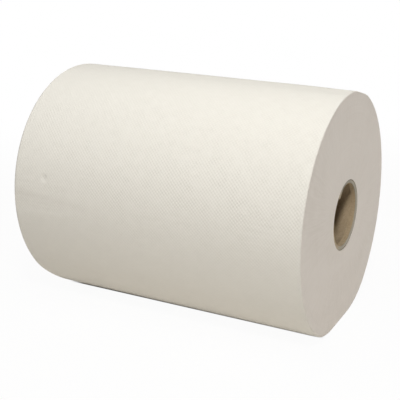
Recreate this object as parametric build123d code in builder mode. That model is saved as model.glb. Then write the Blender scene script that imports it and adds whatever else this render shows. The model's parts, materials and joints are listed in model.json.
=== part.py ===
from build123d import *
from math import atan2, degrees, radians, sqrt, tan
import os

os.makedirs("parts", exist_ok=True)

# A wide roll of paper towel on a cardboard core, lying on its side, in millimetres.
# X runs along the roll to its front end, Z is up, and the floor is Z = 0 under the middle.

# The roll
roll_width = 254.0
roll_radius = 100.0
rim_radius = 1.5

# The spot it lies on, where its own weight has pressed the soft paper flat
press_depth = 4.5
press_blend_radius = 60.0

# The cardboard core
core_bore_radius = 25.4
core_wall = 3.6
core_recess = 0.5
core_edge_cut = 0.5

# The gap between the core and the first turn wound on it
winding_gap = 0.05

# The turns, which show on both ends as one spiral line from the core to the rim
turn_lines = 7
turn_groove_width = 0.9
turn_groove_depth = 0.45
first_turn_margin = 3.5
last_turn_margin = 3.5
run_out_angle = 60.0

# The free end of the paper, on the upper back of the roll
sheet_thickness = 0.3
tail_lift = 0.6
tail_reach = 26.0
tail_angle = 76.0
tail_root_depth = 0.15

core_radius = core_bore_radius + core_wall
wound_bore_radius = core_radius + winding_gap
core_length = roll_width - 2 * core_recess
axis_height = roll_radius - press_depth

# Every sketch is drawn across the roll, with its centre on the roll's axis.
mid_plane = Plane(origin=(0, 0, axis_height), x_dir=(0, 1, 0), z_dir=(1, 0, 0))
front_plane = mid_plane.offset(roll_width / 2)
back_plane = mid_plane.offset(-roll_width / 2)


def press_at(radius):
    """How far a turn is pressed in: all of it outside, and nothing at the core."""
    return press_depth * (radius - core_radius) / (roll_radius - core_radius)


def draw_lower_half(middle, radius):
    """Draw the lower half of a turn from right to left, pressed flat at the bottom."""
    blend = press_blend_radius * radius / roll_radius
    floor = radius - press_at(radius)
    half_flat = sqrt(press_at(radius) * (radius + floor - 2 * blend))
    blend_angle = degrees(atan2(half_flat, floor - blend))
    side_angle = 90 - blend_angle
    CenterArc((middle, 0), radius, 0, -side_angle)
    CenterArc((middle + half_flat, blend - floor), blend, -side_angle, -blend_angle)
    Line((middle + half_flat, -floor), (middle - half_flat, -floor))
    CenterArc((middle - half_flat, blend - floor), blend, -90, -blend_angle)
    CenterArc((middle, 0), radius, -90 - blend_angle, -side_angle)


def beside_roll(height, angle):
    """A point at a height above the roll's surface, at an angle from the back, anticlockwise."""
    point = Vector(roll_radius + height, 0).rotate(Axis.Z, angle)
    return point.X, point.Y


# The paper, all its turns as one solid
first_turn = wound_bore_radius + first_turn_margin
last_turn = roll_radius - rim_radius - last_turn_margin
turn_pitch = (last_turn - first_turn) / turn_lines

with BuildPart() as wound_paper:
    with BuildSketch(back_plane):
        with BuildLine():
            CenterArc((0, 0), roll_radius, 180, -180)
            draw_lower_half(0, roll_radius)
        make_face()
    extrude(amount=roll_width)

    # Both rims are a little soft: a slope at 45 degrees, then one along each of its two sides,
    # so that three flat slopes touch a round of the rim's radius.
    chamfer(wound_paper.faces().filter_by(Axis.X).edges(), rim_radius * (2 - sqrt(2)))
    rows = wound_paper.edges().group_by(Axis.X)
    slope_sides = rows[0] + rows[2] + rows[-3] + rows[-1]
    chamfer(slope_sides, rim_radius * (tan(radians(22.5)) - tan(radians(11.25))))

    with BuildSketch(back_plane):
        Circle(wound_bore_radius)
    extrude(amount=roll_width, mode=Mode.SUBTRACT)

    # The spiral is half turns on two middles, so that each half runs smoothly into the next.
    # Its last turn leaves them to run out at the rim, under the edge of the free end.
    tip_angle = tail_angle - degrees(tail_reach / roll_radius)
    run_out_start = tip_angle + run_out_angle
    run_out_point = beside_roll(last_turn - roll_radius, run_out_start)
    for end_plane, inward in ((front_plane, -1), (back_plane, 1)):
        with BuildLine(end_plane) as turns:
            for turn in range(turn_lines):
                radius = first_turn + turn * turn_pitch
                CenterArc((0, 0), radius, 180, -180)
                draw_lower_half(-turn_pitch / 2, radius + turn_pitch / 2)
            CenterArc((0, 0), last_turn, 180, run_out_start - 180)
            onward = Vector(0, 0, -1).rotate(Axis.X, run_out_start)
            TangentArc(run_out_point, beside_roll(0, tip_angle), tangent=onward)
        start = end_plane.from_local_coords((-first_turn, 0, 0))
        with BuildSketch(Plane(origin=start, x_dir=(0, 1, 0), z_dir=(0, 0, -1))):
            # The groove's V, carried on above the paper to twice its size
            Polygon(
                (-turn_groove_width, -inward * turn_groove_depth),
                (turn_groove_width, -inward * turn_groove_depth),
                (0, inward * turn_groove_depth),
                align=None,
            )
        sweep(path=turns.wire(), mode=Mode.SUBTRACT)

    # The free end leaves the roll on a wider curve, so its edge stands off a little.
    leaving = Vector(0, -1).rotate(Axis.Z, tail_angle)
    with BuildSketch(mid_plane):
        with BuildLine():
            outside = TangentArc(
                beside_roll(-tail_root_depth, tail_angle),
                beside_roll(tail_lift + sheet_thickness, tip_angle),
                tangent=leaving,
            )
            inside = TangentArc(
                beside_roll(-tail_root_depth - sheet_thickness, tail_angle),
                beside_roll(tail_lift, tip_angle),
                tangent=leaving,
            )
            Line(outside @ 0, inside @ 0)
            Line(outside @ 1, inside @ 1)
        make_face()
    extrude(amount=roll_width / 2 - rim_radius, both=True)

wound_paper.part.label = "wound_paper"
export_step(wound_paper.part, "parts/wound_paper.step")


# The cardboard tube that the paper is wound on
with BuildPart() as cardboard_core:
    with BuildSketch(mid_plane):
        Circle(core_radius)
        Circle(core_bore_radius, mode=Mode.SUBTRACT)
    extrude(amount=core_length / 2, both=True)
    chamfer(cardboard_core.edges().filter_by(GeomType.CIRCLE), core_edge_cut)

cardboard_core.part.label = "cardboard_core"
export_step(cardboard_core.part, "parts/cardboard_core.step")
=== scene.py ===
import json
from math import cos, pi, radians, sin

import bmesh
import bpy
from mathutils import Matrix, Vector, noise
from mathutils.bvhtree import BVHTree


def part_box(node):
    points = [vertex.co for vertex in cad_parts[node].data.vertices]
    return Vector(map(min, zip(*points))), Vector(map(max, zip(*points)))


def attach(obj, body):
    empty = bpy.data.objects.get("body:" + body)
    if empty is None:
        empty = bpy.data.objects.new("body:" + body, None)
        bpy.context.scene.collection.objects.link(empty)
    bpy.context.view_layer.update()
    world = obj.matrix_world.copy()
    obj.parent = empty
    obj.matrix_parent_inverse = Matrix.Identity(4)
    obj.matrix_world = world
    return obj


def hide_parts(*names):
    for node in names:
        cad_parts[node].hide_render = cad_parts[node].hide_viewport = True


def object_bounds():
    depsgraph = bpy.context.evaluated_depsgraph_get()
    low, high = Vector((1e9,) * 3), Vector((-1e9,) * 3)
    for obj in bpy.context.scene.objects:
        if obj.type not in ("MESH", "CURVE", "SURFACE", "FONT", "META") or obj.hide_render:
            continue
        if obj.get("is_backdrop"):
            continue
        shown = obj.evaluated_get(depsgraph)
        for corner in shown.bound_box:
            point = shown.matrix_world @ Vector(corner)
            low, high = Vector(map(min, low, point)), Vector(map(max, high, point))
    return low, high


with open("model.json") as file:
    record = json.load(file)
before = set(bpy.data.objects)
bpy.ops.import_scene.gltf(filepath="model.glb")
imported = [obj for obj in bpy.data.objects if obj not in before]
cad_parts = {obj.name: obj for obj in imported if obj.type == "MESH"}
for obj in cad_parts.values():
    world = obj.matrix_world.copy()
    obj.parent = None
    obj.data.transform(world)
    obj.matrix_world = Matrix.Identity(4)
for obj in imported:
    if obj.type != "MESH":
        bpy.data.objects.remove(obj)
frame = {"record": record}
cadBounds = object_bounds()
millimetre = 0.001

# Sizes that the pieces share, all but the last read from the frame. X runs along the roll to its
# near end, Y runs from its front to its back, and Z is up.
paperLow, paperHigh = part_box("wound_paper")
coreLow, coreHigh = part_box("cardboard_core")
rollWidth = paperHigh[0] - paperLow[0]
rollRadius = (paperHigh[1] - paperLow[1]) / 2
axisHeight = paperHigh[2] - rollRadius
pressDepth = rollRadius - axisHeight
coreRadius = (coreHigh[1] - coreLow[1]) / 2
coreLength = coreHigh[0] - coreLow[0]
coreBore = next(mount for mount in frame["record"]["mounts"] if mount["name"] == "core_bore")
boreRadius = coreBore["dims"]["r_mm"] * millimetre
windingGap = 0.05 * millimetre     # between the core and the first turn, as in the solids


# Node helpers, for shader trees and geometry trees alike

# The values go to a node's inputs, by name or number: a socket is linked and anything else is set.
def addNode(tree, kind, values=None, **settings):
    node = tree.nodes.new(kind)
    for name, value in settings.items():
        setattr(node, name, value)
    for key, value in (values or {}).items():
        if isinstance(value, bpy.types.NodeSocket):
            tree.links.new(value, node.inputs[key])
        else:
            node.inputs[key].default_value = value
    return node


def calc(tree, operation, *values):
    return addNode(tree, "ShaderNodeMath", dict(enumerate(values)), operation=operation).outputs[0]


def times(tree, first, *others):
    for other in others:
        first = calc(tree, "MULTIPLY", first, other)
    return first


def plus(tree, first, *others):
    for other in others:
        first = calc(tree, "ADD", first, other)
    return first


def minus(tree, first, *others):
    for other in others:
        first = calc(tree, "SUBTRACT", first, other)
    return first


def ramp(tree, value, fromLow, fromHigh, toLow=0.0, toHigh=1.0, smooth=False):
    limits = {0: value, 1: fromLow, 2: fromHigh, 3: toLow, 4: toHigh}
    kind = "SMOOTHSTEP" if smooth else "LINEAR"
    return addNode(tree, "ShaderNodeMapRange", limits, interpolation_type=kind, clamp=True).outputs[0]


def vectorOf(tree, x, y, z):
    return addNode(tree, "ShaderNodeCombineXYZ", {0: x, 1: y, 2: z}).outputs[0]


def partsOf(tree, vector):
    return addNode(tree, "ShaderNodeSeparateXYZ", {0: vector}).outputs


# Noise around a half. With a seed it has a fourth direction, which the seed runs along.
def noiseAt(tree, place, scale, detail, seed=None):
    values = {"Vector": place, "Scale": scale, "Detail": detail}
    if seed is None:
        return addNode(tree, "ShaderNodeTexNoise", values).outputs[0]
    values["W"] = seed
    return addNode(tree, "ShaderNodeTexNoise", values, noise_dimensions="4D").outputs[0]


# Spreads what lies within this reach of a half over 0 to 1.
def contrast(tree, value, reach=0.25):
    return ramp(tree, value, 0.5 - reach, 0.5 + reach)


# A mix node takes colours at its inputs 6 and 7, and gives the mixed one at its output 2.
def mixColour(tree, factor, first, second):
    return addNode(tree, "ShaderNodeMix", {0: factor, 6: first, 7: second}, data_type="RGBA").outputs[2]


def colour(red, green, blue):
    return (red, green, blue, 1.0)


# A node group with named inputs and outputs, the inputs given as (name, socket type, value)
def newGroup(name, kind, inputs, outputs):
    tree = bpy.data.node_groups.new(name, kind)
    for socketName, socketType, value in inputs:
        socket = tree.interface.new_socket(name=socketName, in_out="INPUT", socket_type=socketType)
        if value is not None:
            socket.default_value = value
    for socketName, socketType in outputs:
        tree.interface.new_socket(name=socketName, in_out="OUTPUT", socket_type=socketType)
    return tree, tree.nodes.new("NodeGroupInput").outputs, tree.nodes.new("NodeGroupOutput")


def putOut(tree, result, *sockets):
    for number, socket in enumerate(sockets):
        tree.links.new(socket, result.inputs[number])


# Keeps a piece's modifiers as its mesh.
def applyModifiers(piece):
    depsgraph = bpy.context.evaluated_depsgraph_get()
    made = bpy.data.meshes.new_from_object(piece.evaluated_get(depsgraph), depsgraph=depsgraph)
    piece.modifiers.clear()
    piece.data = made


# Runs a geometry tree on a piece, and keeps the result as its mesh, with no modifier left.
def plainMesh(piece, tree, values):
    modifier = piece.modifiers.new(tree.name, "NODES")
    modifier.node_group = tree
    for item in tree.interface.items_tree:
        if item.item_type == "SOCKET" and item.in_out == "INPUT":
            modifier[item.identifier] = values[item.name]
    applyModifiers(piece)
    if piece.data.materials and piece.data.materials[0] is None:
        piece.data.materials.pop(index=0)     # the empty slot that a grid starts with
    return piece


def newPiece(name, mesh=None):
    piece = bpy.data.objects.new(name, mesh or bpy.data.meshes.new(name))
    bpy.context.scene.collection.objects.link(piece)
    return piece


# The wound paper: one web wound from the core to the rim

paperSharpAngle = radians(50.0)       # edges of the paper that bend more than this are shaded as corners

# The whole numbers build the grid. Every other value is an input of the tree, under its own name.
woundPaper = {
    "rowsAround": 320,                 # points round every turn
    "borePoints": 3,                   # rows from the middle of the roll to one end, along the bore
    "facePoints": 84,                  # rows across an end, from the bore to the rim
    "rimPoints": 10,
    "sidePoints": 56,                  # rows from a rim to the middle of the roll, along the outside
    "width": rollWidth,
    "outside": rollRadius,
    "bore": coreRadius + windingGap,
    "axisHeight": axisHeight,
    "pressDepth": pressDepth,
    "pressBlend": 0.6,                 # radius of the bend beside the flat, as a share of a turn's radius
    "nearRim": 1.0 * millimetre,       # radius of each rim
    "farRim": 3.0 * millimetre,
    "nearFloorRim": 4.0 * millimetre,  # and where the roll's weight has crushed it on the floor
    "farFloorRim": 8.5 * millimetre,
    "nearCrush": radians(37.0),        # how far round from the bottom the crushing reaches
    "farCrush": radians(52.0),
    "crushFade": 0.4,                  # and how much of that it takes to fade, in radians
    "turnBands": 14.0,                 # bands of turns that show on an end, as one spiral
    "bandDepth": 0.02 * millimetre,
    "bandPatchScale": 9.0,             # the bands come and go in patches
    "faceWaveDepth": 0.35 * millimetre,
    "faceWaveScale": 21.0,
    "sideWaveDepth": 0.22 * millimetre,
    "sideWaveScale": 17.0,
    "sideWaveStretch": 0.45,           # a value under 1 makes the waves longer along the roll
    "sideWaveFrom": 0.35,              # they set in between these angles from the bottom, in radians
    "sideWaveTo": 0.7,
    "unevenFrom": 0.15,                # and the rest does between these, so that the flat stays flat
    "unevenTo": 0.6,
    "nearOval": 1.7 * millimetre,      # how far the soft roll is out of round at each end
    "nearOvalTurn": radians(19.0),     # where it is widest, from the bottom towards the back
    "nearLean": 1.4 * millimetre,      # how far the near end's turns have crept off the middle
    "nearLeanTurn": radians(-101.0),
    "farOval": 1.3 * millimetre,
    "farOvalTurn": radians(49.0),
    "lobes": 0.3 * millimetre,         # a slight three-sided shape over the whole roll
    "lobesTurn": radians(-9.0),
    "taper": 0.8 * millimetre,         # how much less the near end's radius is, and the far end's more
    "tighter": 0.25 * millimetre,      # how far all of this lies inside the full radius
    "dent": 1.0 * millimetre,          # a shallow dent in the near rim, under the free end
    "dentTurn": radians(166.0),
    "dentArc": radians(12.0),
    "dentReach": 45.0 * millimetre,
    "seed": 4.0,
}


# How far from the axis a turn of this radius lies, at an angle measured from straight down
def pressedRadius(tree, radius, fromCore, fromBottom, given):
    leastDepth = 0.0001 * millimetre         # never quite 0, so that a turn at the core has a flat too
    leastCosine = 0.2                        # the flat ends well before this
    depth = calc(tree, "MAXIMUM", times(tree, given["pressDepth"], fromCore), leastDepth)
    blend = times(tree, radius, given["pressBlend"])
    floor = minus(tree, radius, depth)
    drop = minus(tree, floor, blend)         # how far the bend's middle lies under the axis
    spread = minus(tree, plus(tree, radius, floor), times(tree, blend, 2.0))
    halfFlat = calc(tree, "SQRT", times(tree, depth, spread))
    bendEnd = calc(tree, "ARCTAN2", halfFlat, drop)
    flatEnd = calc(tree, "ARCTAN2", halfFlat, floor)
    cosine = calc(tree, "COSINE", fromBottom)
    onFlat = calc(tree, "DIVIDE", floor, calc(tree, "MAXIMUM", cosine, leastCosine))
    sideways = times(tree, halfFlat, calc(tree, "SINE", fromBottom))
    toMiddle = plus(tree, sideways, times(tree, drop, cosine))
    reach = minus(tree, radius, blend)
    bendSquare = minus(tree, times(tree, blend, blend), times(tree, reach, reach))
    square = plus(tree, bendSquare, times(tree, toMiddle, toMiddle))
    onBend = plus(tree, toMiddle, calc(tree, "SQRT", square))
    pastFlat = calc(tree, "GREATER_THAN", fromBottom, flatEnd)
    pastBend = calc(tree, "GREATER_THAN", fromBottom, bendEnd)
    pressed = plus(tree, onFlat, times(tree, pastFlat, minus(tree, onBend, onFlat)))
    return plus(tree, pressed, times(tree, pastBend, minus(tree, radius, pressed)))


# A wave of so many lobes round the roll, as high as the named input says, with a crest at its turn
def lobeWave(tree, around, lobes, given, name):
    fromCrest = minus(tree, around, given[name + "Turn"])
    return times(tree, calc(tree, "COSINE", times(tree, fromCrest, lobes)), given[name])


# How far the soft roll departs from round: an oval that differs from end to end, and a little taper
def outOfRound(tree, around, side, given):
    nearOval = lobeWave(tree, around, 2.0, given, "nearOval")
    near = plus(tree, nearOval, lobeWave(tree, around, 1.0, given, "nearLean"))
    far = lobeWave(tree, around, 2.0, given, "farOval")
    lobes = lobeWave(tree, around, 3.0, given, "lobes")
    toNear = ramp(tree, side, -1.0, 1.0)
    oval = plus(tree, far, times(tree, toNear, minus(tree, near, far)))
    return minus(tree, plus(tree, oval, lobes), times(tree, side, given["taper"]), given["tighter"])


def woundPaperTree(sizes):
    inputs = [(name, "NodeSocketFloat", value) for name, value in sizes.items() if isinstance(value, float)]
    inputs.append(("paper", "NodeSocketMaterial", None))
    outputs = [("Geometry", "NodeSocketGeometry")]
    tree, given, result = newGroup("windPaper", "GeometryNodeTree", inputs, outputs)
    outside, bore = given["outside"], given["bore"]
    halfRows = sizes["borePoints"] + sizes["facePoints"] + sizes["rimPoints"] + sizes["sidePoints"]
    faceFrom = sizes["borePoints"] / halfRows
    rimFrom = (sizes["borePoints"] + sizes["facePoints"]) / halfRows
    sideFrom = rimFrom + sizes["rimPoints"] / halfRows

    # A grid one unit square: one way round the roll, the other way along its section and back.
    grid = addNode(tree, "GeometryNodeMeshGrid", {
        "Size X": 1.0, "Size Y": 1.0,
        "Vertices X": sizes["rowsAround"] + 1, "Vertices Y": 2 * halfRows + 1})
    onGrid = partsOf(tree, addNode(tree, "GeometryNodeInputPosition").outputs[0])
    around = times(tree, plus(tree, onGrid[0], 0.5), 2 * pi)
    endToEnd = times(tree, onGrid[1], 2.0)
    section = minus(tree, 1.0, calc(tree, "ABSOLUTE", endToEnd))    # 0 inside the bore, 1 outside
    end = times(tree, calc(tree, "SIGN", endToEnd), -1.0)           # 1 at the near end, -1 at the far one
    sine = calc(tree, "SINE", around)
    cosine = calc(tree, "COSINE", around)
    fromBottom = calc(tree, "MINIMUM", around, minus(tree, 2 * pi, around))

    # Both rims, wider where they are crushed on the floor
    rim = ramp(tree, end, -1.0, 1.0, given["farRim"], given["nearRim"])
    floorRim = ramp(tree, end, -1.0, 1.0, given["farFloorRim"], given["nearFloorRim"])
    crushTo = ramp(tree, end, -1.0, 1.0, given["farCrush"], given["nearCrush"])
    crushFrom = minus(tree, crushTo, given["crushFade"])
    crushed = ramp(tree, fromBottom, crushFrom, crushTo, 1.0, 0.0, smooth=True)
    rim = plus(tree, rim, times(tree, crushed, minus(tree, floorRim, rim)))

    # The section: along the bore, across the end, round the rim and along the outside
    rimAngle = ramp(tree, section, rimFrom, sideFrom, 0.0, pi / 2)
    radius = plus(tree,
                  bore,
                  times(tree, ramp(tree, section, faceFrom, rimFrom), minus(tree, outside, rim, bore)),
                  times(tree, rim, calc(tree, "SINE", rimAngle)))
    halfWidth = times(tree, given["width"], 0.5)
    reach = minus(tree,
                  times(tree, ramp(tree, section, 0.0, faceFrom), halfWidth),
                  times(tree, rim, minus(tree, 1.0, calc(tree, "COSINE", rimAngle))),
                  times(tree, ramp(tree, section, sideFrom, 1.0), minus(tree, halfWidth, rim)))

    # The ends: bands of turns, as one spiral that widens clockwise as seen from the near end, and waves
    pitch = calc(tree, "DIVIDE", minus(tree, outside, bore), given["turnBands"])
    turnsOut = calc(tree, "DIVIDE", minus(tree, radius, bore), pitch)
    turn = plus(tree, turnsOut, times(tree, around, 1 / (2 * pi)))
    groove = minus(tree, 0.5, times(tree, calc(tree, "COSINE", times(tree, turn, 2 * pi)), 0.5))
    boreFade = 2 * faceFrom                   # over these, both fade out at the bore and at the rim
    rimFade = 0.06 * rimFrom
    onFace = times(tree,
                   ramp(tree, section, faceFrom, faceFrom + boreFade, smooth=True),
                   ramp(tree, section, rimFrom, rimFrom - rimFade, smooth=True))
    across = times(tree, radius, sine)
    upward = times(tree, radius, cosine, -1.0)
    endShift = 0.3                            # gives each end noise of its own
    facePlace = vectorOf(tree, plus(tree, times(tree, end, endShift), given["seed"]), across, upward)
    faceNoise = noiseAt(tree, facePlace, given["faceWaveScale"], detail=2.0)
    bandNoise = noiseAt(tree, facePlace, given["bandPatchScale"], detail=1.0)
    sunk = plus(tree,
                times(tree, groove, given["bandDepth"], contrast(tree, bandNoise, reach=0.2)),
                times(tree, given["faceWaveDepth"], contrast(tree, faceNoise)))
    reach = minus(tree, reach, times(tree, sunk, onFace))
    along = times(tree, end, reach)

    # The outside, slightly uneven along the web
    stretched = times(tree, along, given["sideWaveStretch"])
    sidePlace = vectorOf(tree, plus(tree, stretched, given["seed"]), across, upward)
    sideNoise = noiseAt(tree, sidePlace, given["sideWaveScale"], detail=2.0)
    dip = times(tree,
                given["sideWaveDepth"],
                contrast(tree, sideNoise),
                ramp(tree, section, rimFrom, sideFrom, smooth=True),
                ramp(tree, fromBottom, given["sideWaveFrom"], given["sideWaveTo"], smooth=True))

    # Out of round, with the one dent. All of this fades towards the core and the flat.
    fromDent = calc(tree, "ABSOLUTE", minus(tree, around, given["dentTurn"]))
    dent = times(tree,
                 given["dent"],
                 ramp(tree, fromDent, 0.0, given["dentArc"], 1.0, 0.0, smooth=True),
                 ramp(tree, minus(tree, halfWidth, along), 0.0, given["dentReach"], 1.0, 0.0, smooth=True))
    side = calc(tree, "DIVIDE", along, halfWidth)
    fromCore = calc(tree, "DIVIDE", minus(tree, radius, bore), minus(tree, outside, bore))
    uneven = times(tree,
                   minus(tree, outOfRound(tree, around, side, given), dent),
                   fromCore,
                   ramp(tree, fromBottom, given["unevenFrom"], given["unevenTo"], smooth=True))
    pressed = pressedRadius(tree, radius, fromCore, fromBottom, given)
    fromAxis = plus(tree, minus(tree, pressed, dip), uneven)

    # Nothing goes past the full radius at the top, the front or the back.
    backward = calc(tree, "MINIMUM", times(tree, fromAxis, sine), outside)
    backward = calc(tree, "MAXIMUM", backward, times(tree, outside, -1.0))
    upward = calc(tree, "MINIMUM", times(tree, fromAxis, cosine, -1.0), outside)
    position = vectorOf(tree, along, backward, plus(tree, given["axisHeight"], upward))

    # The mask of the cut ends is kept first, while the grid's own places still hold.
    shape = addNode(tree, "GeometryNodeStoreNamedAttribute", {
        "Geometry": grid.outputs[0], "Name": "cutEnd",
        "Value": ramp(tree, section, rimFrom, sideFrom, 1.0, 0.0, smooth=True)},
        data_type="FLOAT", domain="POINT").outputs[0]
    shape = addNode(tree, "GeometryNodeSetPosition", {"Geometry": shape, "Position": position}).outputs[0]
    shape = addNode(tree, "GeometryNodeFlipFaces", {"Mesh": shape}).outputs[0]
    seam = {"Geometry": shape, "Distance": 0.001 * millimetre}
    shape = addNode(tree, "GeometryNodeMergeByDistance", seam).outputs[0]
    shape = addNode(tree, "GeometryNodeSetShadeSmooth", {"Geometry": shape}).outputs[0]
    shape = addNode(tree, "GeometryNodeRealizeInstances", {"Geometry": shape}).outputs[0]
    finish = {"Geometry": shape, "Material": given["paper"]}
    putOut(tree, result, addNode(tree, "GeometryNodeSetMaterial", finish).outputs[0])
    return tree


def makeWoundPaper(sizes, paper):
    piece = plainMesh(newPiece("woundPaper"), woundPaperTree(sizes), {**sizes, "paper": paper})
    piece.data.set_sharp_from_angle(angle=paperSharpAngle)
    return piece


# The free end of the web, on the upper back, a little lifted where it was last torn off

freeEnd = {
    "fromAngle": radians(76.0),      # where it leaves the roll, measured from the back
    "reach": 26.0 * millimetre,
    "thickness": 0.3 * millimetre,
    "rootDepth": 0.35 * millimetre,
    "lift": 0.6 * millimetre,
    "liftWave": 0.4 * millimetre,
    "liftWaveScale": 22.0,
    "edgeWave": 0.48 * millimetre,
    "edgeWaveScale": 30.0,
    "edgeRipple": 0.32 * millimetre,
    "edgeRippleScale": 240.0,
    "edgeMargin": 1.2 * millimetre,  # how far its two corners stay inside the roll's ends
    "columns": 150,
    "rows": 22,
}


def waveAt(x, height, scale, seed):
    return height * noise.noise(Vector((x * scale, seed, 0.0)))


def makeFreeEnd(sizes, paper):
    rows, columns = sizes["rows"], sizes["columns"]
    width = rollWidth - 2 * sizes["edgeMargin"]
    roll = bpy.data.objects["woundPaper"].data
    rollSurface = BVHTree.FromPolygons([v.co for v in roll.vertices], [p.vertices for p in roll.polygons])
    surface = bmesh.new()
    grid = []
    for column in range(columns + 1):
        x = -width / 2 + width * column / columns
        reach = (sizes["reach"]
                 + waveAt(x, sizes["edgeWave"], sizes["edgeWaveScale"], seed=2.0)
                 + waveAt(x, sizes["edgeRipple"], sizes["edgeRippleScale"], seed=7.0))
        lift = sizes["lift"] + waveAt(x, sizes["liftWave"], sizes["liftWaveScale"], seed=11.0)
        line = []
        for row in range(rows + 1):
            share = row / rows
            angle = sizes["fromAngle"] - reach * share / rollRadius
            outward = Vector((0.0, cos(angle), sin(angle)))
            axis = Vector((x, 0.0, axisHeight))
            onRoll = rollSurface.ray_cast(axis + outward * 2 * rollRadius, -outward)[0]
            height = -sizes["rootDepth"] + (lift + sizes["rootDepth"]) * share ** 2
            line.append(surface.verts.new(onRoll + outward * height))
        grid.append(line)
    for first, second in zip(grid, grid[1:]):
        for row in range(rows):
            surface.faces.new((first[row], second[row], second[row + 1], first[row + 1]))
    mesh = bpy.data.meshes.new("freeEnd")
    surface.to_mesh(mesh)
    surface.free()
    mesh.materials.append(paper)
    mesh.shade_smooth()
    piece = newPiece("freeEnd", mesh)
    wall = piece.modifiers.new("thickness", "SOLIDIFY")
    wall.thickness = sizes["thickness"]
    wall.offset = 1.0
    applyModifiers(piece)
    piece.data.set_sharp_from_angle(angle=paperSharpAngle)
    return piece


# The cardboard tube, whose inner ply has one joint that winds through it

cardboardCore = {
    "columns": 156,
    "insideRows": 56,
    "outsideRows": 8,
    "plies": 5,                       # layers of board that show on the cut ends
    "plyStep": 0.14 * millimetre,
    "cutRough": 0.1 * millimetre,     # how rough the cut ends are
    "roughAcross": 900.0,             # and how fine that is, across the wall and round the tube
    "roughAround": 9.0,
    "thinWall": 0.9 * millimetre,     # how much thinner the wall is on its upper side
    "thinTurn": radians(88.0),        # and where it is thinnest, from the back, anticlockwise
    "slant": 0.4 * millimetre,        # how far each cut end leans, out at the back and in at the front
    "jointTurn": 129.0 * millimetre,  # how far along the tube one turn of the joint runs
    "jointAngle": radians(131.0),     # where it meets the near end, from the back, anticlockwise
    "jointWidth": 0.9 * millimetre,
    "jointSide": 0.12,                # share of its width that each of its two sides takes
    "jointDepth": 0.4 * millimetre,
    "cornerLift": 3.0 * millimetre,   # the ply's corner, pushed in at the near end
    "cornerArc": radians(30.0),
    "cornerDepth": 16.0 * millimetre,
    "dent": 0.25 * millimetre,
    "dentScale": 18.0,
    "sharpAngle": radians(40.0),      # edges that bend more than this are shaded as corners
}


# How far the inner ply's corner is pushed in, at an angle from the joint and a place along the tube
def cornerLift(sizes, turn, x):
    back = (2 * pi - turn) % (2 * pi)
    share = max(0.0, 1 - back / sizes["cornerArc"])
    deep = max(0.0, 1 - (coreLength / 2 - x) / sizes["cornerDepth"])
    return sizes["cornerLift"] * share * share * (3 - 2 * share) * deep * deep


# The tube's section, going round once, as places along it and shares of the wall from inside to outside
def coreSection(sizes):
    half = coreLength / 2
    plyRows = sizes["plies"] * 2
    section = []
    for row in range(sizes["outsideRows"] + 1):
        section.append((-half + coreLength * row / sizes["outsideRows"], 1.0))
    for row in range(1, plyRows):
        section.append((half - sizes["plyStep"] * (row % 2), 1 - row / plyRows))
    for row in range(sizes["insideRows"] + 1):
        section.append((half - coreLength * row / sizes["insideRows"], 0.0))
    for row in range(1, plyRows):
        section.append((-half + sizes["plyStep"] * (row % 2), row / plyRows))
    return section


# One point of the tube: a place along it, a share of its wall, an angle from the back, and the bore there
def corePoint(sizes, x, share, angle, inside):
    half = coreLength / 2
    inside += sizes["thinWall"] * max(0.0, cos(angle - sizes["thinTurn"])) ** 2
    bend = noise.noise(Vector((x * sizes["dentScale"], cos(angle), sin(angle))))
    inside += sizes["dent"] * bend * (1 - share)
    radius = inside + (coreRadius - inside) * share
    rough = noise.noise(Vector((radius * sizes["roughAcross"],
                                cos(angle) * sizes["roughAround"],
                                sin(angle) * sizes["roughAround"])))
    cutBack = sizes["cutRough"] * abs(rough) if abs(x) > half - 2 * sizes["plyStep"] else 0.0
    leant = x + sizes["slant"] * cos(angle) * x / half
    along = leant - cutBack if x > 0 else leant + cutBack
    return along, radius * cos(angle), axisHeight + radius * sin(angle)


def makeCardboardCore(sizes, card):
    # The angles from the joint, and whether each is on the joint's floor
    jointArc = sizes["jointWidth"] / boreRadius
    jointSide = jointArc * sizes["jointSide"]
    turns = [(0.0, False), (jointSide, True), (jointArc - jointSide, True), (jointArc, False)]
    even = sizes["columns"] - len(turns)
    step = (2 * pi - jointArc) / (even + 1)
    turns += [(jointArc + step * (number + 1), False) for number in range(even)]
    tube = bmesh.new()
    joint = tube.verts.layers.float.new("plyJoint")
    rings = []
    for x, share in coreSection(sizes):
        ring = []
        for turn, inJoint in turns:
            angle = sizes["jointAngle"] + turn + 2 * pi * (x - coreLength / 2) / sizes["jointTurn"]
            inside = boreRadius + (sizes["jointDepth"] if inJoint else -cornerLift(sizes, turn, x))
            corner = tube.verts.new(corePoint(sizes, x, share, angle, inside))
            corner[joint] = 1.0 if share == 0 and inJoint else 0.0
            ring.append(corner)
        rings.append(ring)
    count = len(turns)
    for ring, following in zip(rings, rings[1:] + rings[:1]):
        for number in range(count):
            after = (number + 1) % count
            tube.faces.new((ring[number], following[number], following[after], ring[after]))
    bmesh.ops.recalc_face_normals(tube, faces=tube.faces)
    mesh = bpy.data.meshes.new("cardboardCore")
    tube.to_mesh(mesh)
    tube.free()
    mesh.materials.append(card)
    mesh.shade_smooth()
    mesh.set_sharp_from_angle(angle=sizes["sharpAngle"])
    return newPiece("cardboardCore", mesh)


# Shader groups that both materials use

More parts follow.
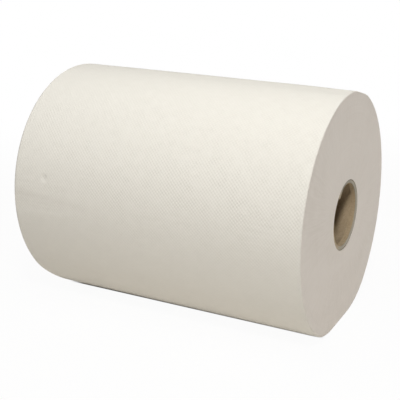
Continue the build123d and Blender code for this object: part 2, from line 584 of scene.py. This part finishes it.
def rollCoordinatesGroup():
    tree, given, result = newGroup(
        "rollCoordinates", "ShaderNodeTree",
        [("Position", "NodeSocketVector", None), ("Axis Height", "NodeSocketFloat", 0.1)],
        [("Along", "NodeSocketFloat"), ("Radius", "NodeSocketFloat"),
         ("Angle", "NodeSocketFloat"), ("Unrolled", "NodeSocketVector")])
    place = partsOf(tree, given["Position"])
    height = minus(tree, place[2], given["Axis Height"])
    radius = calc(tree, "SQRT", plus(tree, times(tree, height, height), times(tree, place[1], place[1])))
    angle = calc(tree, "ARCTAN2", place[1], height)      # from the top, so it breaks at the bottom
    unrolled = vectorOf(tree, place[0], times(tree, radius, angle), radius)
    putOut(tree, result, place[0], radius, angle, unrolled)
    return tree


# Fibres that lie three ways, and soft clouds
def fibreGrainGroup():
    tree, given, result = newGroup(
        "fibreGrain", "ShaderNodeTree",
        [("Vector", "NodeSocketVector", None), ("Size", "NodeSocketFloat", 0.001),
         ("Stretch", "NodeSocketFloat", 4.0), ("Seed", "NodeSocketFloat", 0.0)],
        [("Fibre", "NodeSocketFloat"), ("Cloud", "NodeSocketFloat")])
    fibreTurns = (0.35, -0.5, 1.45)          # in radians
    fibreFrom, fibreTo = 0.45, 0.8           # where the noise begins to count as a fibre, and fully does
    cloudShare = 0.06                        # scale of the clouds, as a share of the fibres'
    scale = calc(tree, "DIVIDE", 1.0, given["Size"])
    fibres = []
    for turned in fibreTurns:
        turnedPlace = {"Vector": given["Vector"], "Rotation": (0.0, 0.0, turned)}
        place = partsOf(tree, addNode(tree, "ShaderNodeMapping", turnedPlace).outputs[0])
        lengthwise = calc(tree, "DIVIDE", place[0], given["Stretch"])
        long = vectorOf(tree, lengthwise, place[1], plus(tree, place[2], turned))
        fibres.append(noiseAt(tree, long, scale, detail=1.0, seed=given["Seed"]))
    strongest = calc(tree, "MAXIMUM", calc(tree, "MAXIMUM", fibres[0], fibres[1]), fibres[2])
    fibre = ramp(tree, strongest, fibreFrom, fibreTo)
    cloudScale = times(tree, scale, cloudShare)
    cloud = noiseAt(tree, given["Vector"], cloudScale, detail=3.0, seed=given["Seed"])
    putOut(tree, result, fibre, contrast(tree, cloud, reach=0.2))
    return tree


# Thin layers seen on edge: lines round the axis, broader bands, and streaks across them
def layerEdgesGroup():
    tree, given, result = newGroup(
        "layerEdges", "ShaderNodeTree",
        [("Radius", "NodeSocketFloat", 0.0), ("Angle", "NodeSocketFloat", 0.0),
         ("Line Size", "NodeSocketFloat", 0.0005), ("Streaks", "NodeSocketFloat", 60.0),
         ("Seed", "NodeSocketFloat", 0.0)],
        [("Line", "NodeSocketFloat"), ("Band", "NodeSocketFloat"), ("Streak", "NodeSocketFloat")])
    cosine = calc(tree, "COSINE", given["Angle"])
    sine = calc(tree, "SINE", given["Angle"])
    lines = calc(tree, "DIVIDE", given["Radius"], given["Line Size"])

    def ringNoise(outward, around, scale, detail):
        fromAxis = times(tree, lines, outward)
        place = vectorOf(tree, fromAxis, times(tree, cosine, around), times(tree, sine, around))
        return noiseAt(tree, place, scale, detail, seed=given["Seed"])

    line = ringNoise(outward=1.0, around=1.6, scale=1.0, detail=1.0)
    band = ringNoise(outward=0.12, around=0.9, scale=1.0, detail=1.0)
    streak = ringNoise(outward=0.1, around=given["Streaks"], scale=0.35, detail=2.0)
    putOut(tree, result, contrast(tree, line), contrast(tree, band), contrast(tree, streak, reach=0.2))
    return tree


def useGroup(tree, group, values):
    return addNode(tree, "ShaderNodeGroup", values, node_tree=group).outputs


def newMaterial(name):
    material = bpy.data.materials.new(name)
    material.use_nodes = True
    tree = material.node_tree
    tree.nodes.clear()
    return material, tree


def surfaceOf(tree, shader):
    output = tree.nodes.new("ShaderNodeOutputMaterial")
    tree.links.new(shader.outputs[0], output.inputs["Surface"])


def matteSurface(tree, base, height, sizes):
    bump = addNode(tree, "ShaderNodeBump", {"Height": height, "Distance": 1.0, "Strength": 1.0})
    shader = addNode(tree, "ShaderNodeBsdfPrincipled", {
        "Base Color": base, "Normal": bump.outputs[0],
        "Roughness": sizes["roughness"], "Specular IOR Level": sizes["specular"]})
    surfaceOf(tree, shader)


# The paper. Each share says how far a pattern takes the colour towards the darker one.
towelPaper = {
    "web": colour(0.883, 0.852, 0.774),
    "webShade": colour(0.82, 0.785, 0.70),   # between the fibres
    "cut": colour(0.80, 0.745, 0.682),       # the ends, where the turns are seen on edge; darker partly from the cut fibres and partly as painted shade between the layers
    "cutShade": colour(0.70, 0.64, 0.57),
    "embossAlong": 2.9 * millimetre,         # from one dot to the next along the roll
    "embossAround": 212.0,                   # dots round the roll
    "embossEdge": 0.75,                      # how softly a dot ends, at most 1
    "embossHeight": 0.17 * millimetre,
    "hollowShadeShare": 0.08,                      # painted shade: how much darker the dots' hollows are drawn, for the shade that falls in them
    "hollowShadeColour": colour(0.3, 0.27, 0.22),
    "embossFaint": 0.4,                      # its strength in the faintest patches
    "embossFar": 0.7,                        # and at the far end, from where it grows to full strength
    "embossFarFrom": -120.0 * millimetre,    # between these two places along the roll
    "embossFarTo": -30.0 * millimetre,
    "embossTop": 0.45,                       # and along the top, where it has been handled
    "embossTopFrom": radians(18.0),          # from the top
    "embossTopTo": radians(42.0),
    "embossLow": 0.22,                       # and low down, where the roll has lain on it
    "embossLowFrom": radians(68.0),          # from the bottom
    "embossLowTo": radians(102.0),
    "patchScale": 22.0,                      # creases and streaks come in patches
    "creaseFrom": 0.42,                      # where the patches' noise lets creases begin
    "creaseTo": 0.6,
    "creaseTurn": 0.06,                      # in radians, so they run nearly along the roll
    "creaseLong": 45.0 * millimetre,
    "creaseWide": 4.5 * millimetre,
    "creaseHeight": 0.19 * millimetre,
    "dimplePlace": (-0.0965, -0.1325, 0.1),  # a small knock in the side, on the unrolled web
    "dimpleSize": 4.6 * millimetre,
    "dimpleDepth": 0.6 * millimetre,
    "fibreSize": 0.35 * millimetre,
    "fibreStretch": 5.0,
    "fibreHeight": 0.02 * millimetre,
    "fibreShare": 0.2,
    "cloudShare": 0.15,
    "lineSize": 0.55 * millimetre,
    "lineHeight": 0.06 * millimetre,
    "lineShare": 0.2,
    "bandHeight": 0.03 * millimetre,
    "bandShare": 0.08,
    "streaks": 105.0,                        # how fine the streaks are round the roll
    "streakFaint": 0.4,                      # their strength in the faintest patches
    "streakHeight": 0.078 * millimetre,
    "streakShare": 0.45,
    "roughness": 0.93,
    "specular": 0.25,
}


def makeTowelPaper(sizes, groups):
    material, tree = newMaterial("towelPaper")
    position = addNode(tree, "ShaderNodeTexCoord").outputs["Object"]
    along, radius, angle, unrolled = useGroup(tree, groups["roll"], {
        "Position": position, "Axis Height": axisHeight})
    fibre, cloud = useGroup(tree, groups["fibre"], {
        "Vector": unrolled, "Size": sizes["fibreSize"], "Stretch": sizes["fibreStretch"], "Seed": 1.0})
    line, band, streak = useGroup(tree, groups["layers"], {
        "Radius": radius, "Angle": angle, "Line Size": sizes["lineSize"], "Streaks": sizes["streaks"],
        "Seed": 3.0})
    cutEnd = addNode(tree, "ShaderNodeAttribute", attribute_name="cutEnd").outputs["Fac"]
    patches = noiseAt(tree, unrolled, sizes["patchScale"], detail=1.0)

    # The embossing: rows of dots, each row half a step along from the last
    across = calc(tree, "COSINE", times(tree, along, 2 * pi / sizes["embossAlong"]))
    around = calc(tree, "COSINE", times(tree, angle, sizes["embossAround"]))
    dots = ramp(tree, times(tree, across, around), -sizes["embossEdge"], sizes["embossEdge"], smooth=True)
    fromTop = calc(tree, "ABSOLUTE", angle)
    fromBottom = minus(tree, pi, fromTop)
    pressed = ramp(tree, cloud, 0.0, 1.0, sizes["embossFaint"], 1.0)
    for place, name in ((along, "embossFar"), (fromTop, "embossTop"), (fromBottom, "embossLow")):
        strength = ramp(tree, place, sizes[name + "From"], sizes[name + "To"], sizes[name], 1.0)
        pressed = times(tree, pressed, strength)
    # Painted shade: the dots' hollows are drawn darker in colour, for the shade that falls in them.
    hollowShadeMask = times(tree, minus(tree, 1.0, dots), pressed)
    dots = times(tree, minus(tree, dots, 0.5), pressed)

    webMix = plus(tree, times(tree, fibre, sizes["fibreShare"]), times(tree, cloud, sizes["cloudShare"]))
    onWeb = mixColour(tree, webMix, sizes["web"], sizes["webShade"])
    onWeb = mixColour(tree, times(tree, hollowShadeMask, sizes["hollowShadeShare"]), onWeb, sizes["hollowShadeColour"])

    # The cut ends, where the streaks come in patches
    patchy = ramp(tree, contrast(tree, patches, reach=0.1), 0.0, 1.0, sizes["streakFaint"], 1.0)
    streak = times(tree, streak, patchy)
    cutMix = plus(tree,
                  times(tree, line, sizes["lineShare"]),
                  times(tree, band, sizes["bandShare"]),
                  times(tree, streak, sizes["streakShare"]))
    onCut = mixColour(tree, cutMix, sizes["cut"], sizes["cutShade"])
    base = mixColour(tree, cutEnd, onWeb, onCut)

    # Fine creases in patches, and the one small knock
    creasePlace = addNode(tree, "ShaderNodeMapping", {
        "Vector": unrolled, "Rotation": (0.0, 0.0, sizes["creaseTurn"]),
        "Scale": (1 / sizes["creaseLong"], 1 / sizes["creaseWide"], 1.0)})
    creases = times(tree,
                    minus(tree, noiseAt(tree, creasePlace.outputs[0], scale=1.0, detail=2.0), 0.5),
                    ramp(tree, patches, sizes["creaseFrom"], sizes["creaseTo"], smooth=True),
                    sizes["creaseHeight"])
    places = {0: unrolled, 1: sizes["dimplePlace"]}
    fromDimple = addNode(tree, "ShaderNodeVectorMath", places, operation="DISTANCE").outputs["Value"]
    dimple = ramp(tree, fromDimple, 0.0, sizes["dimpleSize"], sizes["dimpleDepth"], 0.0, smooth=True)

    webHeight = plus(tree,
                     times(tree, dots, sizes["embossHeight"]),
                     times(tree, fibre, sizes["fibreHeight"]),
                     creases,
                     times(tree, dimple, -1.0))
    cutHeight = plus(tree,
                     times(tree, line, sizes["lineHeight"]),
                     times(tree, band, sizes["bandHeight"]),
                     times(tree, streak, sizes["streakHeight"]))
    height = plus(tree, webHeight, times(tree, cutEnd, minus(tree, cutHeight, webHeight)))
    matteSurface(tree, base, height, sizes)
    return material


# The board. The shares are used as the paper's are, except that the flecks are paler.
coreCard = {
    "inside": colour(0.57, 0.45, 0.295),
    "insideShade": colour(0.25, 0.165, 0.085),
    "cut": colour(0.455, 0.415, 0.34),
    "cutShade": colour(0.27, 0.235, 0.18),
    "cutFrom": 0.4 * millimetre,       # the cut's colour sets in between these distances from an end
    "cutTo": 0.2 * millimetre,
    "depthShadeFrom": 6.0 * millimetre,      # painted shade: the board is drawn darker deeper into the tube, between these distances from an end, and paler near its cut ends
    "depthShadeTo": 17.0 * millimetre,
    "depthShadeShare": 0.35,
    "jointShare": 0.7,
    "fibreSize": 0.7 * millimetre,
    "fibreStretch": 7.0,
    "fibreHeight": 0.09 * millimetre,
    "fibreShare": 0.45,
    "cloudShare": 0.2,
    "fleck": colour(0.62, 0.55, 0.44),
    "fleckScale": 160.0,
    "fleckFrom": 0.09,                 # where a fleck's edge begins and ends, as shares of its cell
    "fleckTo": 0.05,
    "fleckShare": 0.6,
    "lineSize": 0.72 * millimetre,
    "lineShare": 0.45,
    "outerPlyShadeFrom": 0.9 * millimetre,  # the outer ply is darker, between these depths under the outside: partly its own darker board, partly painted shade of the gap to the paper
    "outerPlyShadeTo": 0.3 * millimetre,
    "outerPlyShadeShare": 0.75,
    "roughness": 0.9,
    "specular": 0.3,
}


def makeCoreCard(sizes, groups):
    material, tree = newMaterial("coreCard")
    position = addNode(tree, "ShaderNodeTexCoord").outputs["Object"]
    along, radius, angle, unrolled = useGroup(tree, groups["roll"], {
        "Position": position, "Axis Height": axisHeight})
    fibre, cloud = useGroup(tree, groups["fibre"], {
        "Vector": unrolled, "Size": sizes["fibreSize"], "Stretch": sizes["fibreStretch"], "Seed": 5.0})
    line = useGroup(tree, groups["layers"], {
        "Radius": radius, "Angle": angle, "Line Size": sizes["lineSize"], "Seed": 8.0})["Line"]
    joint = addNode(tree, "ShaderNodeAttribute", attribute_name="plyJoint").outputs["Fac"]
    fromEnd = minus(tree, coreLength / 2, calc(tree, "ABSOLUTE", along))

    # Flecks lie over the fibres, and the joint over all of it.
    # deep is painted shade: the inside of the tube is drawn darker away from its mouths, for the shade that
    # falls in it.
    deep = ramp(tree, fromEnd, sizes["depthShadeFrom"], sizes["depthShadeTo"], smooth=True)
    fleckCells = addNode(tree, "ShaderNodeTexVoronoi", {"Vector": unrolled, "Scale": sizes["fleckScale"]})
    fleck = ramp(tree, fleckCells.outputs["Distance"], sizes["fleckFrom"], sizes["fleckTo"])
    inside = sizes["inside"]
    for pattern, share, other in (
            (cloud, "cloudShare", "insideShade"), (fibre, "fibreShare", "insideShade"),
            (deep, "depthShadeShare", "insideShade"), (fleck, "fleckShare", "fleck"),
            (joint, "jointShare", "insideShade")):
        inside = mixColour(tree, times(tree, pattern, sizes[share]), inside, sizes[other])

    depth = minus(tree, coreRadius, radius)
    # Partly painted shade: the band under the outside of the cut end is drawn darker, partly for the outer
    # ply's own board and partly for the shade in the gap to the paper.
    outerPlyAndGapShade = ramp(tree, depth, sizes["outerPlyShadeFrom"], sizes["outerPlyShadeTo"])
    cutMix = plus(tree,
                  times(tree, line, sizes["lineShare"]),
                  times(tree, outerPlyAndGapShade, sizes["outerPlyShadeShare"]))
    onCut = mixColour(tree, cutMix, sizes["cut"], sizes["cutShade"])
    onEnd = ramp(tree, fromEnd, sizes["cutFrom"], sizes["cutTo"])
    base = mixColour(tree, onEnd, inside, onCut)
    height = times(tree, plus(tree, fibre, cloud, times(tree, onEnd, line)), sizes["fibreHeight"])
    matteSurface(tree, base, height, sizes)
    return material


# The pieces and their materials

groups = {"roll": rollCoordinatesGroup(), "fibre": fibreGrainGroup(), "layers": layerEdgesGroup()}
paper = makeTowelPaper(towelPaper, groups)
card = makeCoreCard(coreCard, groups)
print("materials made")

for makePiece, sizes, material, node, slot in (
        (makeWoundPaper, woundPaper, paper, "wound_paper", "towel_paper"),
        (makeFreeEnd, freeEnd, paper, "wound_paper", "towel_paper"),
        (makeCardboardCore, cardboardCore, card, "cardboard_core", "core_card")):
    piece = makePiece(sizes, material)
    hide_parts(node)
    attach(piece, "root")
    print(piece.name, "made:", len(piece.data.polygons), "faces")


# The studio: a pale floor, soft lamps and a white surround

studio = {
    "floorHalf": 3.0,
    "floorColour": colour(0.88, 0.85, 0.81),
    "nearWhite": 0.955,            # how much of the floor the camera sees as plain white, near the roll
    "whiteFrom": 0.3,              # distance from the roll where it turns to plain white
    "whiteTo": 0.7,
    "gapEdge": 0.0342,             # distance from the middle where the dark gap under the roll ends
    "gapNarrows": 0.006,           # and how much less that is for each metre towards the near end
    "gapFade": 0.0006,
    "gapNearEnd": (0.012, 0.002),  # it ends gradually, between these distances from each end
    "gapFarEnd": (0.018, 0.004),
    "worldStrength": 0.112,
}

# Each lamp is turned from the front towards the near end, and raised, both in degrees.
lamps = [
    {"name": "keyLamp", "turned": 28.0, "raised": 46.0, "distance": 1.1, "size": 0.14, "power": 4.85},
    {"name": "topLamp", "turned": 0.0, "raised": 70.0, "distance": 0.75, "size": 0.5, "power": 2.1},
    {"name": "sideLamp", "turned": 75.0, "raised": 60.0, "distance": 1.6, "size": 0.9, "power": 0.95},
    {"name": "endLamp", "turned": 104.0, "raised": 5.0, "distance": 0.7, "size": 0.3, "power": 0.76},
    {"name": "backLamp", "turned": -120.0, "raised": 35.0, "distance": 1.6, "size": 0.9, "power": 1.6},
]

camera = {
    "place": (0.3354, -0.6518, 0.3414),
    "aim": (-0.0028, -0.0040, 0.0888),
    "lens": 80.56,
    "sensor": 36.0,
}


# Mixes a plain shader with plain white, for what the camera sees, directly or in something shiny.
def cameraSeesWhite(tree, plain, white, share):
    path = tree.nodes.new("ShaderNodeLightPath").outputs
    seen = calc(tree, "MAXIMUM", path["Is Camera Ray"], path["Is Glossy Ray"])
    seen = calc(tree, "MAXIMUM", seen, path["Is Transmission Ray"])
    glow = addNode(tree, white, {"Color": colour(1.0, 1.0, 1.0), "Strength": 1.0})
    return addNode(tree, "ShaderNodeMixShader", {
        0: times(tree, seen, share), 1: plain.outputs[0], 2: glow.outputs[0]})


def makeFloor(settings):
    half = settings["floorHalf"]
    mesh = bpy.data.meshes.new("floor")
    corners = [(-half, -half, 0.0), (half, -half, 0.0), (half, half, 0.0), (-half, half, 0.0)]
    mesh.from_pydata(corners, [], [(0, 1, 2, 3)])
    material, tree = newMaterial("paleFloor")
    plain = addNode(tree, "ShaderNodeBsdfDiffuse", {"Color": settings["floorColour"]})
    position = addNode(tree, "ShaderNodeTexCoord").outputs["Object"]
    away = addNode(tree, "ShaderNodeVectorMath", {0: position}, operation="LENGTH").outputs["Value"]
    whiteFrom, whiteTo = settings["whiteFrom"], settings["whiteTo"]
    white = ramp(tree, away, whiteFrom, whiteTo, settings["nearWhite"], 1.0, smooth=True)

    # The narrow gap between the roll and the floor keeps its own dark shade.
    along, backward, _ = partsOf(tree, position)
    nearFrom, nearTo = (rollWidth / 2 - inset for inset in settings["gapNearEnd"])
    farFrom, farTo = (inset - rollWidth / 2 for inset in settings["gapFarEnd"])
    sideways = plus(tree, calc(tree, "ABSOLUTE", backward), times(tree, along, settings["gapNarrows"]))
    gapFrom = settings["gapEdge"] - settings["gapFade"]
    gapTo = settings["gapEdge"] + settings["gapFade"]
    inGap = times(tree,
                  ramp(tree, sideways, gapFrom, gapTo, 1.0, 0.0),
                  ramp(tree, along, nearFrom, nearTo, 1.0, 0.0),
                  ramp(tree, along, farTo, farFrom))
    share = times(tree, white, minus(tree, 1.0, inGap))
    surfaceOf(tree, cameraSeesWhite(tree, plain, "ShaderNodeEmission", share))
    mesh.materials.append(material)
    floor = newPiece("floor", mesh)
    floor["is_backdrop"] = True


def makeWorld(settings):
    world = bpy.data.worlds.new("surround")
    world.use_nodes = True
    tree = world.node_tree
    tree.nodes.clear()
    plain = addNode(tree, "ShaderNodeBackground", {
        "Color": colour(1.0, 1.0, 1.0), "Strength": settings["worldStrength"]})
    seen = cameraSeesWhite(tree, plain, "ShaderNodeBackground", 1.0)
    output = tree.nodes.new("ShaderNodeOutputWorld")
    tree.links.new(seen.outputs[0], output.inputs["Surface"])
    bpy.context.scene.world = world


def makeLamp(name, turned, raised, distance, size, power):
    turned, raised = radians(turned), radians(raised)
    outward = Vector((sin(turned) * cos(raised), -cos(turned) * cos(raised), sin(raised)))
    light = bpy.data.lights.new(name, "AREA")
    light.shape = "DISK"
    light.size = size
    light.energy = power
    lamp = bpy.data.objects.new(name, light)
    lamp.location = Vector((0.0, 0.0, axisHeight)) + outward * distance     # from the roll's middle
    lamp.rotation_euler = (-outward).to_track_quat("-Z", "Y").to_euler()
    bpy.context.scene.collection.objects.link(lamp)


def makeCamera(settings):
    lens = bpy.data.cameras.new("camera")
    lens.lens = settings["lens"]
    lens.sensor_width = settings["sensor"]
    seen = bpy.data.objects.new("camera", lens)
    seen.location = settings["place"]
    direction = Vector(settings["aim"]) - Vector(settings["place"])
    seen.rotation_euler = direction.to_track_quat("-Z", "Y").to_euler()
    bpy.context.scene.collection.objects.link(seen)
    bpy.context.scene.camera = seen


makeFloor(studio)
makeWorld(studio)
for lamp in lamps:
    makeLamp(**lamp)
makeCamera(camera)
bpy.context.scene.view_settings.view_transform = "Standard"
print("studio made")

sizes = {"cad": [list(corner) for corner in cadBounds], "visual": [list(corner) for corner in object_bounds()]}
